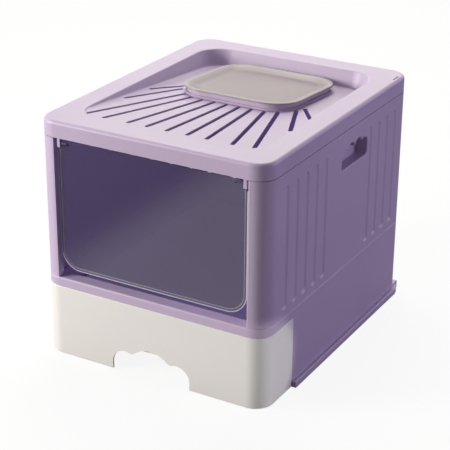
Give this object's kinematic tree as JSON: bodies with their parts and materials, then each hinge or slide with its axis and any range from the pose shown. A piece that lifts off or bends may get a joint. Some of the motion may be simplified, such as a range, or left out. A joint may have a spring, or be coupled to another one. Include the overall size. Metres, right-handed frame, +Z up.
{
  "type": "foldable litter box",
  "caption": "Covered litter box with a pull-out pan, a clear swinging door, fold-down walls, hand grips and a slotted lid with a hinged top hatch.",
  "frame": {"origin": "middle of the footprint, on the floor that the box stands on", "axes": "+Z up; -Y towards the doorway and the drawer front; +X towards the right side seen from the front"},
  "size_m": [0.424, 0.517, 0.407],
  "materials": {
    "body_plastic": "satin moulded",
    "drawer_plastic": "satin moulded",
    "hatch_plastic": "satin moulded",
    "flap_plastic": "tinted clear, polished",
    "pin_plastic": "satin moulded"
  },
  "bodies": {
    "base": {"base_frame": "body_plastic", "hinge_pins_left": "pin_plastic", "hinge_pins_right": "pin_plastic", "hinge_pins_back": "pin_plastic"},
    "drawer": {"drawer_front": "drawer_plastic", "drawer_tray": "drawer_plastic"},
    "left_wall": {"side_panel_left": "body_plastic", "grip_cup_left": "body_plastic"},
    "right_wall": {"side_panel_right": "body_plastic", "grip_cup_right": "body_plastic"},
    "back_wall": {"back_panel": "body_plastic"},
    "top": {"lid": "body_plastic", "corner_post_front_left": "body_plastic", "corner_post_front_right": "body_plastic", "corner_post_rear_left": "body_plastic", "corner_post_rear_right": "body_plastic", "hatch_pins": "pin_plastic", "flap_pins": "pin_plastic"},
    "hatch_cover": {"hatch": "hatch_plastic"},
    "door": {"flap": "flap_plastic"}
  },
  "joints": [
    {"name": "drawer_slide", "type": "slide", "parent": "base", "child": "drawer", "axis": [0, -1, 0], "range_m": [0, 0.36]},
    {"name": "lid_lift", "type": "slide", "parent": "base", "child": "top", "axis": [0, 0, 1], "range_m": [0, 0.3]},
    {"name": "left_wall_fold", "type": "hinge", "parent": "base", "child": "left_wall", "pos_m": [-0.198, -0.0035, 0.1309], "axis": [0, 1, 0], "range_deg": [0, 90]},
    {"name": "right_wall_fold", "type": "hinge", "parent": "base", "child": "right_wall", "pos_m": [0.198, -0.0035, 0.1077], "axis": [0, -1, 0], "range_deg": [0, 90]},
    {"name": "back_wall_fold", "type": "hinge", "parent": "base", "child": "back_wall", "pos_m": [0, 0.2445, 0.1353], "axis": [1, 0, 0], "range_deg": [0, 90]},
    {"name": "door_swing", "type": "hinge", "parent": "top", "child": "door", "pos_m": [0, -0.2504, 0.37], "axis": [1, 0, 0], "range_deg": [-75, 75]},
    {"name": "hatch_open", "type": "hinge", "parent": "top", "child": "hatch_cover", "pos_m": [0, 0.19059, 0.38639], "axis": [-1, 0, 0], "range_deg": [0, 96]}
  ]
}
